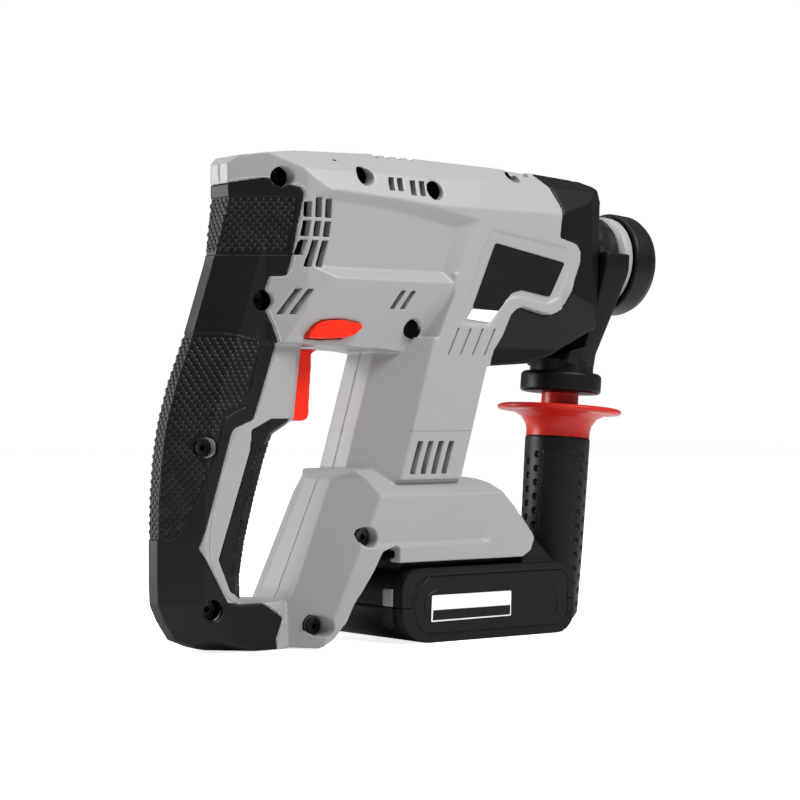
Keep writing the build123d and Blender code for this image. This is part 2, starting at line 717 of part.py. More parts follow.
def pack_form(inset, half_width):
    return rounded([(battery_back + inset, inset, 17), (battery_front - inset, inset, 11),
                    (battery_front - inset, battery_top - inset, 8),
                    (battery_back + inset, battery_top - inset, 11)], half_width)


parting_z = 17.3
cell_room = prism([(-30, 14), (-24, 7), (67, 7), (67, 29.5), (-30, 29.5)], 34)
trim_w = bay_w - 1.5
trim_form = rounded([(-29.5, 4.5, 13), (68, 4.5, 8), (68, 31.5, 6), (-29.5, 31.5, 10)], 50)
tower = box(-30, 48, -28, 28, 33, 47.3) + box(-30, 46, -33, 33, 41, 43.8)
# wedge in front of the hood, on top of the battery
deck = prism([(39.9, 35), (39.9, 38), (44.9, 41.3), (47.3, 47.2), (49, 46.6), (61.8, 35)], bay_w - 2)
blade_slots = box(-31, -16, -13.8, -12.2, 38, 46) + box(-31, -16, 12.2, 13.8, 38, 46)
blade_slots = blade_slots + box(-31, -16, -0.8, 0.8, 38, 46)
latch_room = box(66.5, 80, -13.3, 13.3, 20.7, 29.3)
pack_shape = pack_form(0, bay_w) - (trim_form - box(-100, 100, -trim_w, trim_w, -10, 60))
with BuildPart() as battery_case:
    add(pack_shape & box(-60, 90, -50, 50, -1, parting_z))
    add(cell_room, mode=Mode.SUBTRACT)
    add(latch_room, mode=Mode.SUBTRACT)
save("battery_case", battery_case.part)
with BuildPart() as battery_cover:
    add(pack_shape & box(-60, 90, -50, 50, parting_z, 60))
    add(tower)
    add(deck)
    add(cell_room, mode=Mode.SUBTRACT)
    add(latch_room, mode=Mode.SUBTRACT)
    add(blade_slots, mode=Mode.SUBTRACT)
save("battery_cover", battery_cover.part)
for side, y0, y1 in (("right", -bay_w, -trim_w), ("left", trim_w, bay_w)):
    save("battery_trim_" + side, trim_form & box(-100, 100, y0, y1, -10, 60))

with BuildPart() as latch_button:
    add(box(69.0, 72.2, -13, 13, 21, 29))
save("latch_button", latch_button.part)

with BuildPart() as cells:
    for i in range(5):
        with BuildSketch(Plane.XZ.offset(-32.5)):
            with Locations((-20 + 19 * i, 18.2)):
                Circle(9.1)
        extrude(amount=65)
save("cells", cells.part)

with BuildPart() as terminal_block:
    add(box(-44.7, -31.5, -20, 20, 38.8, 47.6))
    for y in (-13, 0, 13):
        with Locations((-24.5, y, 42)):
            Box(14.5, 0.8, 6)
save("terminal_block", terminal_block.part)

with BuildPart() as control_board:
    add(box(-30, 20, -25, 25, 52, 53.6))
    add(box(-25, -8, -18, 18, 53.6, 61))
    add(box(-2, 12, -12, 12, 53.6, 58))
    for x in (-28, 14):
        for y in (-23, 19):
            add(box(x, x + 4, y, y + 4, 50, 52))
save("control_board", control_board.part)
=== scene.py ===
"""Cordless rotary hammer: rounded shells, finishes, small parts and a plain studio.

Laid out as a Blender add-on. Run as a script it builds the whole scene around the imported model.
Lengths are in metres. +X runs forward towards the chuck, +Y to the tool's left, +Z up.
"""
import math

import bmesh
import bpy
from bpy.props import FloatProperty, FloatVectorProperty, PointerProperty
from mathutils import Matrix, Vector
from mathutils.bvhtree import BVHTree


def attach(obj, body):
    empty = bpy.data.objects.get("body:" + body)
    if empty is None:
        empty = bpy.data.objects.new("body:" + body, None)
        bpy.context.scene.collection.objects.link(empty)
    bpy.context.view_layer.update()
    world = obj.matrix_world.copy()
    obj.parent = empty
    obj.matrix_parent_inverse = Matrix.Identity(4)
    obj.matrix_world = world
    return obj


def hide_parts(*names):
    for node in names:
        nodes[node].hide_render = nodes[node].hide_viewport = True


bl_info = {
    "name": "Rotary Hammer Finish",
    "version": (1, 0, 0),
    "blender": (4, 5, 0),
    "location": "View3D > Sidebar > Rotary Hammer",
    "description": "Rounds, finishes and details a cordless rotary hammer, and lights it",
    "category": "Object",
}

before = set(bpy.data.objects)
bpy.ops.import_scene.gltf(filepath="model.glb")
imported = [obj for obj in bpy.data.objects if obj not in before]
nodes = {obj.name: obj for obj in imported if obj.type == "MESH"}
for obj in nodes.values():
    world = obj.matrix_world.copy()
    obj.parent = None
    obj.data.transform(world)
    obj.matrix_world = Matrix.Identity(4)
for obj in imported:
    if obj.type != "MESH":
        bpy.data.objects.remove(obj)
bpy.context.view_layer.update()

MM = 0.001
PITCH = math.radians(4.5)  # the spindle dips towards the chuck
FORWARD = Vector((math.cos(PITCH), 0, -math.sin(PITCH)))
UPWARD = Vector((math.sin(PITCH), 0, math.cos(PITCH)))
NOSE = Vector((101.3 * MM, 0, 189.7 * MM))  # on the spindle, under the side handle's collar
HANG = 1.5  # how far ahead of it the side grip's axis stands, mm
SIDES = (("right", -1), ("left", 1))  # name of each side, and its way along Y


# ---- small helpers ----

def at(a, r):
    """Point a mm along the spindle and r mm above it."""
    return NOSE + FORWARD * (a * MM) + UPWARD * (r * MM)


def deselect():
    """Leaves edit mode and selects nothing."""
    if bpy.context.object and bpy.context.object.mode != "OBJECT":
        bpy.ops.object.mode_set(mode="OBJECT")
    bpy.ops.object.select_all(action="DESELECT")


def pick(obj):
    """Makes obj the only selected and active object."""
    deselect()
    obj.select_set(True)
    bpy.context.view_layer.objects.active = obj


def edit_all():
    """Enters edit mode with everything of the active piece selected."""
    bpy.ops.object.mode_set(mode="EDIT")
    bpy.ops.mesh.select_all(action="SELECT")


def finish_piece(obj, name, look, body, node=None, smooth=35):
    """Names a piece, gives it its finish, and sets it on its body.

    node is the CAD node that it stands in for, if there is one.
    """
    obj.name = name
    obj.data.name = name
    obj.data.materials.clear()
    obj.data.materials.append(finish(look))
    pick(obj)
    bpy.ops.object.transform_apply(location=True, rotation=True, scale=True)
    bpy.ops.object.shade_smooth_by_angle(angle=math.radians(smooth))
    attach(obj, body)
    if node:
        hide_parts(node)


def apply_modifier(obj, kind, **settings):
    """Adds a modifier of that kind with its settings, and applies it."""
    pick(obj)
    modifier = obj.modifiers.new(kind.title(), kind)
    for key, value in settings.items():
        setattr(modifier, key, value)
    bpy.ops.object.modifier_apply(modifier=modifier.name)


def merged_copy(node):
    """A copy of a CAD node as one closed skin, with its flat faces joined up."""
    source = nodes[node]
    obj = source.copy()
    obj.data = source.data.copy()
    obj.parent = None
    bpy.context.scene.collection.objects.link(obj)
    obj.hide_render = False
    pick(obj)
    edit_all()
    bpy.ops.mesh.remove_doubles(threshold=2e-6)
    bpy.ops.mesh.customdata_custom_splitnormals_clear()
    bpy.ops.mesh.dissolve_limited(angle_limit=math.radians(0.6))
    bpy.ops.object.mode_set(mode="OBJECT")
    for polygon in obj.data.polygons:
        polygon.use_smooth = False
    return obj


def rounded_copy(node, width, least_length=1.2, least_angle=24):
    """A merged copy whose edges are rounded by width in mm, and short ones by a share of their length."""
    obj = merged_copy(node)
    bm = bmesh.new()
    bm.from_mesh(obj.data)
    layer = bm.edges.layers.float.get("bevel_weight_edge") or bm.edges.layers.float.new("bevel_weight_edge")
    for edge in bm.edges:
        length = edge.calc_length() / MM
        angle = abs(math.degrees(edge.calc_face_angle_signed(0.0))) if len(edge.link_faces) == 2 else 0.0
        keen = length >= least_length and angle >= least_angle
        edge[layer] = min(width, length * 0.3) / width if keen else 0.0
    bm.to_mesh(obj.data)
    bm.free()
    apply_modifier(obj, "BEVEL", limit_method="WEIGHT", width=width * MM, segments=3, profile=0.5,
                   use_clamp_overlap=False, miter_outer="MITER_SHARP", offset_type="OFFSET")
    return obj


def moulded_copy(node, voxel=0.7, passes=4, share=0.35, shape=None):
    """A merged copy remeshed finely and smoothed, so that all its edges are softly rounded.

    shape is a function that may move the fine mesh's points before it is thinned.
    """
    obj = merged_copy(node)
    apply_modifier(obj, "REMESH", mode="VOXEL", voxel_size=voxel * MM, adaptivity=0.0,
                   use_smooth_shade=True)
    apply_modifier(obj, "SMOOTH", factor=0.5, iterations=passes)
    if shape:
        shape(obj)
    apply_modifier(obj, "DECIMATE", decimate_type="COLLAPSE", ratio=share)
    return obj


def inside(outline, x, z):
    """True if a point lies within an outline of (x, z) points."""
    hit = False
    for (x0, z0), (x1, z1) in zip(outline, outline[1:] + outline[:1]):
        if (z0 > z) != (z1 > z) and x < x0 + (x1 - x0) * (z - z0) / (z1 - z0):
            hit = not hit
    return hit


def rim_distance(outline, x, z):
    """How far a point lies from the nearest edge of an outline."""
    point = Vector((x, z))
    least = 1e9
    for start, end in zip(outline, outline[1:] + outline[:1]):
        first, run = Vector(start), Vector(end) - Vector(start)
        share = max(0.0, min(1.0, (point - first).dot(run) / run.length_squared))
        least = min(least, (point - first - run * share).length)
    return least


def sink(obj, zones, depth):
    """Lowers the outer skin within the zones, outlines of (x, z) in mm, by depth in mm."""
    mesh = obj.data
    normals = [vertex.normal.copy() for vertex in mesh.vertices]
    for vertex, normal in zip(mesh.vertices, normals):
        x, y, z = vertex.co / MM
        outward = normal.y * y > 0 or abs(normal.x) > 0.5
        if outward and any(inside(zone, x, z) for zone in zones):
            vertex.co -= normal * depth * MM


def skin(obj):
    """Search tree of a piece's surface."""
    mesh = obj.data
    return BVHTree.FromPolygons([vertex.co.copy() for vertex in mesh.vertices],
                                [list(polygon.vertices) for polygon in mesh.polygons])


def strewn(obj, matrices):
    """Copies of obj at every matrix, joined into one piece. The pattern piece itself is removed."""
    made = []
    for matrix in matrices:
        other = obj.copy()
        other.data = obj.data.copy()
        other.data.transform(matrix)
        bpy.context.scene.collection.objects.link(other)
        made.append(other)
    bpy.data.objects.remove(obj)
    return joined(made)


def stud(radius, height):
    """A low dome's pattern piece, closed underneath."""
    deselect()
    bpy.ops.mesh.primitive_uv_sphere_add(segments=9, ring_count=5, radius=radius * MM)
    obj = bpy.context.object
    edit_all()
    bpy.ops.transform.resize(value=(1, 1, height / radius))
    bpy.ops.object.mode_set(mode="OBJECT")
    return obj


def girth(tree, z, centre, way, reach, step, shift):
    """Places step mm apart round one side of a grip at height z, as (point, normal), from its middle.

    centre is the x of the grip's middle, way is -1 for its rear and 1 for its front side, and reach is
    the widest angle from there, in degrees.
    """
    middle = Vector((centre, 0, z))
    runs = []
    for turn in (1, -1):
        run = []
        for i in range(int(reach / 1.5)):
            angle = math.radians(1.5 * i) * turn
            away = Vector((way * math.cos(angle), math.sin(angle), 0))
            hit, normal, index, distance = tree.ray_cast((middle + away * 90) * MM, -away, 90 * MM)
            if hit:
                run.append((hit, normal))
        runs.append(run)
    places = []
    for run, start in zip(runs, (shift, step - shift)):
        walked, wanted = 0.0, start * MM
        for (a, normal), (b, other) in zip(run, run[1:]):
            length = (b - a).length
            while walked + length > wanted and length > 0:
                places.append((a.lerp(b, (wanted - walked) / length), normal))
                wanted += step * MM
            walked += length
    return places


def on_surface(point, normal):
    """Matrix that stands a piece on a surface, its Z along the normal."""
    return Matrix.Translation(point) @ normal.to_track_quat("Z", "Y").to_matrix().to_4x4()


def plate(outline, low, high, corner=0.0):
    """Flat plate over an outline of (x, z), between two Y levels, all in mm, with rounded corners."""
    deselect()
    bpy.ops.mesh.primitive_circle_add(vertices=len(outline), radius=MM, fill_type="NGON")
    obj = bpy.context.object
    for vertex, (x, z) in zip(obj.data.vertices, outline):
        vertex.co = (x * MM, low * MM, z * MM)
    edit_all()
    if corner:
        bpy.ops.mesh.bevel(offset=corner * MM, offset_type="OFFSET", segments=4, affect="VERTICES")
    bpy.ops.mesh.select_all(action="SELECT")
    bpy.ops.mesh.extrude_region_move(TRANSFORM_OT_translate={"value": (0, (high - low) * MM, 0)})
    bpy.ops.mesh.select_all(action="SELECT")
    bpy.ops.mesh.normals_make_consistent(inside=False)
    bpy.ops.object.mode_set(mode="OBJECT")
    return obj


def disc(x, z, radius):
    """Round outline of 24 points, in side view."""
    turns = [math.radians(15 * i) for i in range(24)]
    return [(x + radius * math.cos(turn), z + radius * math.sin(turn)) for turn in turns]


def rounded_path(points, passes=2):
    """Open line of (x, z) points with its corners cut."""
    for i in range(passes):
        cut = [points[0]]
        for (x0, z0), (x1, z1) in zip(points, points[1:]):
            cut.append((x0 * 0.75 + x1 * 0.25, z0 * 0.75 + z1 * 0.25))
            cut.append((x0 * 0.25 + x1 * 0.75, z0 * 0.25 + z1 * 0.75))
        points = cut + [points[-1]]
    return points


def offset_path(points, distance):
    """The same open line moved to its left, seen with x to the right and z up."""
    moved = []
    for i, point in enumerate(points):
        before = Vector(points[max(0, i - 1)])
        after = Vector(points[min(len(points) - 1, i + 1)])
        run = (after - before).normalized()
        moved.append((point[0] - run.y * distance, point[1] + run.x * distance))
    return moved


def even_path(points, step):
    """Points step mm apart along an open line."""
    places, wanted, walked = [], 0.0, 0.0
    for start, end in zip(points, points[1:]):
        a, b = Vector(start), Vector(end)
        length = (b - a).length
        while wanted <= walked + length and length > 0:
            places.append(a.lerp(b, (wanted - walked) / length))
            wanted += step
        walked += length
    return places


def bead(runs, radius, name):
    """Thin round ridge along each run of points, in metres, as a mesh with closed ends."""
    curve = bpy.data.curves.new(name, "CURVE")
    curve.dimensions = "3D"
    curve.bevel_depth = radius * MM
    curve.bevel_resolution = 1
    curve.use_fill_caps = True
    for run in runs:
        spline = curve.splines.new("POLY")
        spline.points.add(len(run) - 1)
        for point, place in zip(spline.points, run):
            point.co = (place.x, place.y, place.z, 1)
    obj = bpy.data.objects.new(name, curve)
    bpy.context.scene.collection.objects.link(obj)
    pick(obj)
    bpy.ops.object.convert(target="MESH")
    edit_all()
    bpy.ops.mesh.remove_doubles(threshold=1e-6)
    bpy.ops.mesh.normals_make_consistent(inside=False)
    bpy.ops.object.mode_set(mode="OBJECT")
    return bpy.context.object


def laid_on(trees, path, side, lift, level):
    """Runs of points where a path of (x, z) in mm falls on the surface seen from one side.

    The points stand lift mm off the surface; spots closer than level mm to the middle are left out.
    """
    runs, run, last = [], [], None
    for x, z in path:
        best = None
        for tree in trees:
            hit, normal, index, distance = tree.ray_cast(Vector((x * MM, side * 0.08, z * MM)),
                                                         Vector((0, -side, 0)), 0.08)
            if hit and abs(hit.y) > level * MM and (best is None or abs(hit.y) > abs(best.y)):
                best = hit + normal * lift * MM
        broken = best is None or (last is not None and abs(best.y - last.y) > 1.2 * MM)
        if broken and len(run) > 4:
            runs.append(run)
        if broken:
            run = []
        if best is not None:
            run.append(best)
        last = best
    if len(run) > 4:
        runs.append(run)
    return runs


def joined(pieces):
    """Several meshes as one."""
    deselect()
    for piece in pieces:
        piece.select_set(True)
    bpy.context.view_layer.objects.active = pieces[0]
    bpy.ops.object.join()
    return pieces[0]


def cut_by(obj, cutter):
    """Takes the cutter's shape out of obj and removes the cutter."""
    apply_modifier(obj, "BOOLEAN", operation="DIFFERENCE", solver="MANIFOLD", object=cutter)
    bpy.data.objects.remove(cutter)


# ---- finishes ----

def new_group(name, inputs, outputs):
    """Empty shader node group with its sockets. Returns (group, input node, output node)."""
    group = bpy.data.node_groups.new(name, "ShaderNodeTree")
    for socket, kind, value in inputs:
        made = group.interface.new_socket(name=socket, in_out="INPUT", socket_type=kind)
        made.default_value = value
    for socket, kind in outputs:
        group.interface.new_socket(name=socket, in_out="OUTPUT", socket_type=kind)
    return group, group.nodes.new("NodeGroupInput"), group.nodes.new("NodeGroupOutput")


def link(tree, source, target):
    """Joins an output socket to an input socket."""
    tree.links.new(source, target)


def maths(tree, operation, first, second, clamp=False):
    """Math node; each value is a socket or a number."""
    node = tree.nodes.new("ShaderNodeMath")
    node.operation = operation
    node.use_clamp = clamp
    for value, target in zip((first, second), node.inputs):
        if isinstance(value, (int, float)):
            target.default_value = value
        else:
            link(tree, value, target)
    return node.outputs[0]


def ramp(tree, value, low, high):
    """Smooth step from 0 to 1 between two values."""
    node = tree.nodes.new("ShaderNodeMapRange")
    node.interpolation_type = "SMOOTHSTEP"
    node.inputs["From Min"].default_value = low
    node.inputs["From Max"].default_value = high
    link(tree, value, node.inputs["Value"])
    return node.outputs["Result"]


def noise(tree, vector, scale, detail):
    """Noise over the surface; the scale is a socket or a number."""
    node = tree.nodes.new("ShaderNodeTexNoise")
    node.inputs["Detail"].default_value = detail
    link(tree, vector, node.inputs["Vector"])
    if isinstance(scale, (int, float)):
        node.inputs["Scale"].default_value = scale
    else:
        link(tree, scale, node.inputs["Scale"])
    return node.outputs["Fac"]


def grain_group():
    """Fine moulded grain: a height, and a roughness that drifts over the surface."""
    group, source, sink_node = new_group(
        "Moulded grain",
        [("Vector", "NodeSocketVector", (0, 0, 0)), ("Size", "NodeSocketFloat", 1400.0),
         ("Roughness", "NodeSocketFloat", 0.4), ("Spread", "NodeSocketFloat", 0.06)],
        [("Height", "NodeSocketFloat"), ("Roughness", "NodeSocketFloat")])
    fine = noise(group, source.outputs["Vector"], source.outputs["Size"], 2.0)
    broad = noise(group, source.outputs["Vector"], 38.0, 5.0)
    drift = maths(group, "SUBTRACT", broad, 0.5)
    spread = maths(group, "MULTIPLY", drift, source.outputs["Spread"])
    doubled = maths(group, "MULTIPLY", spread, 2.0)
    link(group, fine, sink_node.inputs["Height"])
    link(group, maths(group, "ADD", source.outputs["Roughness"], doubled), sink_node.inputs["Roughness"])
    return group


def tone_group():
    """A colour that drifts a little over the surface, with scuffed edges."""
    group, source, sink_node = new_group(
        "Handled tone",
        [("Vector", "NodeSocketVector", (0, 0, 0)), ("Color", "NodeSocketColor", (0.5, 0.5, 0.5, 1)),
         ("Worn Color", "NodeSocketColor", (0.7, 0.7, 0.7, 1)), ("Drift", "NodeSocketFloat", 0.06),
         ("Wear", "NodeSocketFloat", 0.3)],
        [("Color", "NodeSocketColor")])
    centred = maths(group, "SUBTRACT", noise(group, source.outputs["Vector"], 22.0, 6.0), 0.5)
    shift = maths(group, "MULTIPLY", centred, source.outputs["Drift"])
    tinted = group.nodes.new("ShaderNodeHueSaturation")
    link(group, maths(group, "ADD", shift, 1.0), tinted.inputs["Value"])
    link(group, source.outputs["Color"], tinted.inputs["Color"])
    pointed = group.nodes.new("ShaderNodeNewGeometry").outputs["Pointiness"]
    edge = ramp(group, pointed, 0.54, 0.62)
    patchy = ramp(group, noise(group, source.outputs["Vector"], 160.0, 4.0), 0.42, 0.62)
    scuffed = maths(group, "MULTIPLY", edge, patchy)
    mix = group.nodes.new("ShaderNodeMix")
    mix.data_type = "RGBA"
    link(group, maths(group, "MULTIPLY", scuffed, source.outputs["Wear"], clamp=True), mix.inputs["Factor"])
    link(group, tinted.outputs["Color"], mix.inputs["A"])
    link(group, source.outputs["Worn Color"], mix.inputs["B"])
    link(group, mix.outputs["Result"], sink_node.inputs["Color"])
    return group


GROUPS = {}


def shared(name):
    """The shared node group of that name, built once."""
    if name not in GROUPS:
        GROUPS[name] = {"grain": grain_group, "tone": tone_group}[name]()
    return GROUPS[name]


def place_group(tree, name, vector, **values):
    """A node of the shared group of that name, with its own values."""
    node = tree.nodes.new("ShaderNodeGroup")
    node.node_tree = shared(name)
    link(tree, vector, node.inputs["Vector"])
    for key, value in values.items():
        node.inputs[key.replace("_", " ")].default_value = value
    return node


def tint(color):
    """RGBA of a grey level, or of a colour of three values."""
    return tuple(color) + (1,) if hasattr(color, "__len__") else (color, color, color, 1.0)


def finish_material(name, color, worn, roughness, grain=1400.0, depth=0.02, drift=0.06, wear=0.25,
                    spread=0.06, metallic=0.0, coat=0.0, specular=0.32):
    """Principled material with moulded grain and a drifting, worn tone; depth of the grain is in mm."""
    material = bpy.data.materials.new(name)
    material.use_nodes = True
    tree = material.node_tree
    shader = tree.nodes["Principled BSDF"]
    place = tree.nodes.new("ShaderNodeTexCoord").outputs["Object"]
    tone = place_group(tree, "tone", place, Color=tint(color), Worn_Color=tint(worn), Drift=drift,
                       Wear=wear)
    moulded = place_group(tree, "grain", place, Size=grain, Roughness=roughness, Spread=spread)
    bump = tree.nodes.new("ShaderNodeBump")
    bump.inputs["Strength"].default_value = 1.0
    bump.inputs["Distance"].default_value = depth * MM
    link(tree, moulded.outputs["Height"], bump.inputs["Height"])
    link(tree, bump.outputs["Normal"], shader.inputs["Normal"])
    link(tree, tone.outputs["Color"], shader.inputs["Base Color"])
    link(tree, moulded.outputs["Roughness"], shader.inputs["Roughness"])
    shader.inputs["Metallic"].default_value = metallic
    shader.inputs["Coat Weight"].default_value = coat
    shader.inputs["Specular IOR Level"].default_value = specular
    material.diffuse_color = tint(color)
    return material


# Each finish: its title, colour, worn colour, roughness and what else differs from finish_material's own
# values. The settings give the colour and roughness of shell and rubber.
LOOKS = {
    "shell": ("Grey shell", None, 0.72, None, dict(grain=1500, depth=0.016, drift=0.05)),
    "rubber": ("Black rubber", None, 0.06, None,
               dict(grain=1900, drift=0.3, wear=0.3, spread=0.1, specular=0.18)),
    "case": ("Black case", 0.005, 0.05, 0.4,
             dict(grain=1300, depth=0.016, drift=0.3, wear=0.35, spread=0.08, specular=0.16)),
    "battery": ("Battery black", 0.006, 0.06, 0.4,
                dict(grain=1500, depth=0.014, drift=0.3, wear=0.3, specular=0.16)),
    "panel": ("Battery side panel", 0.004, 0.05, 0.32,
              dict(grain=1000, depth=0.006, drift=0.25, wear=0.2, specular=0.18)),
    "red": ("Red plastic", (0.85, 0.018, 0.003), (0.9, 0.08, 0.03), 0.36,
            dict(grain=1300, depth=0.008, drift=0.08, wear=0.3, specular=0.3)),
    "guard": ("Guard red", (0.5, 0.012, 0.006), (0.75, 0.08, 0.04), 0.34,
              dict(grain=1100, depth=0.012, drift=0.12, wear=0.35, specular=0.28)),
    "steel": ("Plated steel", 0.52, 0.7, 0.3,
              dict(grain=900, depth=0.004, drift=0.12, wear=0.4, metallic=1.0)),
    "dark_steel": ("Hardened steel", 0.22, 0.5, 0.28,
                   dict(grain=900, depth=0.004, drift=0.2, wear=0.5, metallic=1.0)),
    "screw": ("Blackened screws", 0.02, 0.12, 0.35,
              dict(grain=900, depth=0.004, drift=0.3, wear=0.3, metallic=0.8)),
    "ring": ("Grey painted ring", 0.3, 0.5, 0.34, dict(grain=900, depth=0.006, drift=0.08, wear=0.3)),
    "cast": ("Cast light metal", 0.55, 0.75, 0.45,
             dict(grain=500, depth=0.03, drift=0.15, wear=0.3, metallic=1.0)),
    "winding": ("Enamelled winding", (0.35, 0.12, 0.04), (0.5, 0.25, 0.1), 0.35,
                dict(grain=700, depth=0.03, drift=0.3, wear=0.2, metallic=0.6)),
    "board": ("Circuit board", (0.012, 0.11, 0.04), (0.1, 0.3, 0.15), 0.4,
              dict(grain=600, depth=0.01, drift=0.2, wear=0.1)),
    "wrap": ("Cell wrap", (0.02, 0.13, 0.4), (0.1, 0.3, 0.6), 0.25,
             dict(grain=500, depth=0.005, drift=0.15, wear=0.1)),
    "label": ("Bare plate black", 0.004, 0.02, 0.45,
              dict(grain=600, depth=0.003, drift=0.2, wear=0.1, specular=0.2)),
    "white": ("Bare plate white", 0.85, 0.9, 0.35, dict(grain=600, depth=0.003, drift=0.04, wear=0.05)),
    # Painted shade: near-black for the sheets and sleeves set where shade falls inside slots, pockets and
    # recesses.
    "hole": ("Deep shade", 0.0015, 0.004, 0.9,
             dict(grain=600, depth=0.01, drift=0.2, wear=0.0, specular=0.05)),
    "lens": ("Lamp lens", 0.35, 0.6, 0.08, dict(grain=300, depth=0.002, drift=0.05, wear=0.1, coat=0.5)),
}
FINISHES = {}


def finish(look):
    """The finish of that name, made on first use."""
    if look not in FINISHES:
        title, color, worn, roughness, more = LOOKS[look]
        if color is None:
            chosen = getattr(bpy.context.scene, "hammer_" + look)
            color, roughness = chosen.color, chosen.roughness
        FINISHES[look] = finish_material(title, color, worn, roughness, **more)
    return FINISHES[look]


CAD_FINISH = {
    "steel": ("front_bearing", "pinion_bearing", "end_bearing", "rotor", "clamp_bolt", "sleeve_spring"),
    "screw": ("housing_screws",),
    "dark_steel": ("spindle", "spindle_gear", "beat_piece", "striker", "crank", "cross_shaft",
                   "locking_ball_left", "locking_ball_right"),
    "cast": ("bearing_bridge", "crank_bridge", "shaft_plate", "piston", "connecting_rod"),
    "case": ("switch_module", "terminal_block", "fan", "clamp_strap"),
    "winding": ("stator",),
    "board": ("control_board",),
    "wrap": ("cells",),
    "lens": ("lamp_lens",),
}


# ---- settings ----

class ShellSettings(bpy.types.PropertyGroup):
    """Fineness and finish of the moulded housing."""
    color: FloatVectorProperty(name="Shell colour", description="Colour of the grey housing",
                               subtype="COLOR", default=(0.3, 0.3, 0.305), min=0, max=1)
    roughness: FloatProperty(name="Shell roughness", description="Roughness of the moulded surface",
                             default=0.38, min=0, max=1, subtype="FACTOR")
    voxel: FloatProperty(name="Fineness", description="Grain of the mesh that rounds the housing",
                         default=0.65 * MM, unit="LENGTH", min=0.0003, max=0.002)


class RubberSettings(bpy.types.PropertyGroup):
    """Sizes and finish of the soft grip."""
    color: FloatVectorProperty(name="Rubber colour", description="Colour of the overmoulded grip",
                               subtype="COLOR", default=(0.006, 0.006, 0.0065), min=0, max=1)
    roughness: FloatProperty(name="Rubber roughness", description="Roughness of the grip",
                             default=0.4, min=0, max=1, subtype="FACTOR")
    stud_step: FloatProperty(name="Stud step", description="Distance between studs in a row",
                             default=3.5 * MM, unit="LENGTH", min=0.002, max=0.01)
    stud_radius: FloatProperty(name="Stud radius", description="Radius of one grip stud",
                               default=1.2 * MM, unit="LENGTH", min=0.0003, max=0.003)


class StageSettings(bpy.types.PropertyGroup):
    """Floor, light and camera."""
    floor_color: FloatVectorProperty(name="Floor colour", description="Colour of the floor",
                                     subtype="COLOR", default=(0.93, 0.93, 0.93), min=0, max=1)
    floor_glow: FloatProperty(name="Floor glow", description="How much the floor shines",
                              default=0.8, min=0, max=2, subtype="FACTOR")
    light: FloatProperty(name="Light", description="Strength of the studio light", default=1.0,
                         min=0, max=10, subtype="FACTOR")
    fill: FloatProperty(name="Fill", description="Strength of the light from all round",
                        default=0.2, min=0, max=2, subtype="FACTOR")
    lens: FloatProperty(name="Lens", description="Camera's focal length in mm", default=97.5,
                        min=20, max=300)


# ---- housing ----
# Outlines are (x, z) in mm, and depths and levels are distances from the middle of the tool in mm.

SOFT_SEAM = [(-112, 214.5), (-98, 217), (-88.5, 213.5), (-84.5, 212.5), (-83.5, 210), (-84, 206),
             (-86, 194.5), (-88, 181), (-90, 172), (-96.6, 171.8), (-98.6, 165), (-98.2, 155.5),
             (-95.5, 149), (-93, 139.6), (-95.5, 132), (-100, 119), (-104, 108), (-105, 105.7),
             (-114.5, 102), (-116.5, 100), (-133, 47.6), (-118.5, 22.6), (-112, 21.8), (-100, 21.8),
             (-89.5, 14.6), (-94.5, 4.9)]
LEG_JOINT = [(-52, 100.1), (30, 100.1)]
BEYOND = 45  # level outside the side walls, where cutters end
INLETS = ((-82.2, 206.2, 181.5), (-76.6, 208.4, 176.1), (-71.0, 208.0, 176.2))
SLOT_ROWS = (  # count, step, top x, z, bottom x, z, width, depth, level of the dark sheet of painted shade behind the slot
    (2, 4.9, -85.4, 166.1, -92.9, 154.2, 2.7, 15, 17),
    (2, 6.0, -28.8, 166.8, -33.6, 158.1, 2.7, 18, 20.5),
    (2, 5.2, -34.1, 220.4, -35.2, 213.8, 3.2, 22, 24),
    (2, 5.5, -21.5, 219.7, -22.7, 212.2, 3.2, 22, 24),
    (4, 6.3, -20.2, 95.5, -25.2, 79.8, 3.1, 27, 28.8),
    (4, 7.5, 2.9, 149.8, -3.7, 137.0, 1.2, 32.0, None))
TOP_POCKET = (46.5, 226)  # middle of the round recess in the top's chamfer
TOP_POCKET_R = 3.4
TOP_POCKET_DEPTH = 14.5


def leaning(x0, z0, x1, z1, width):
    """Outline of a leaning slot between the middles of its top and bottom edges."""
    h = width / 2
    return [(x0 - h, z0), (x0 + h, z0), (x1 + h, z1), (x1 - h, z1)]


def wall_slots():
    """Every slot of one side wall: (outline, depth of the cut, level of its painted-shade sheet or None).
    """
    slots = []
    for x, top, low in INLETS:
        for x0, z0, x1, z1 in ((x + 0.5, top, x, 199.1), (x, 197.5, x - 1.3, 190.2),
                               (x - 1.6, 188.6, x - 1.6 - (188 - low) * 0.33, low)):
            slots.append((leaning(x0, z0, x1, z1, 3.6), 22, 24))
    for count, step, x0, z0, x1, z1, width, depth, level in SLOT_ROWS:
        for i in range(count):
            slots.append((leaning(x0 + step * i, z0, x1 + step * i, z1, width), depth, level))
    return slots


def pocket_cutter(x, y, z, radius, length):
    """Round bar along the spindle's way that cuts a screw pocket into a top edge."""
    deselect()
    bpy.ops.mesh.primitive_cylinder_add(vertices=28, radius=radius * MM, depth=length * MM,
                                        location=Vector((x, y, z)) * MM,
                                        rotation=(0, math.radians(90) + PITCH, 0))
    return bpy.context.object


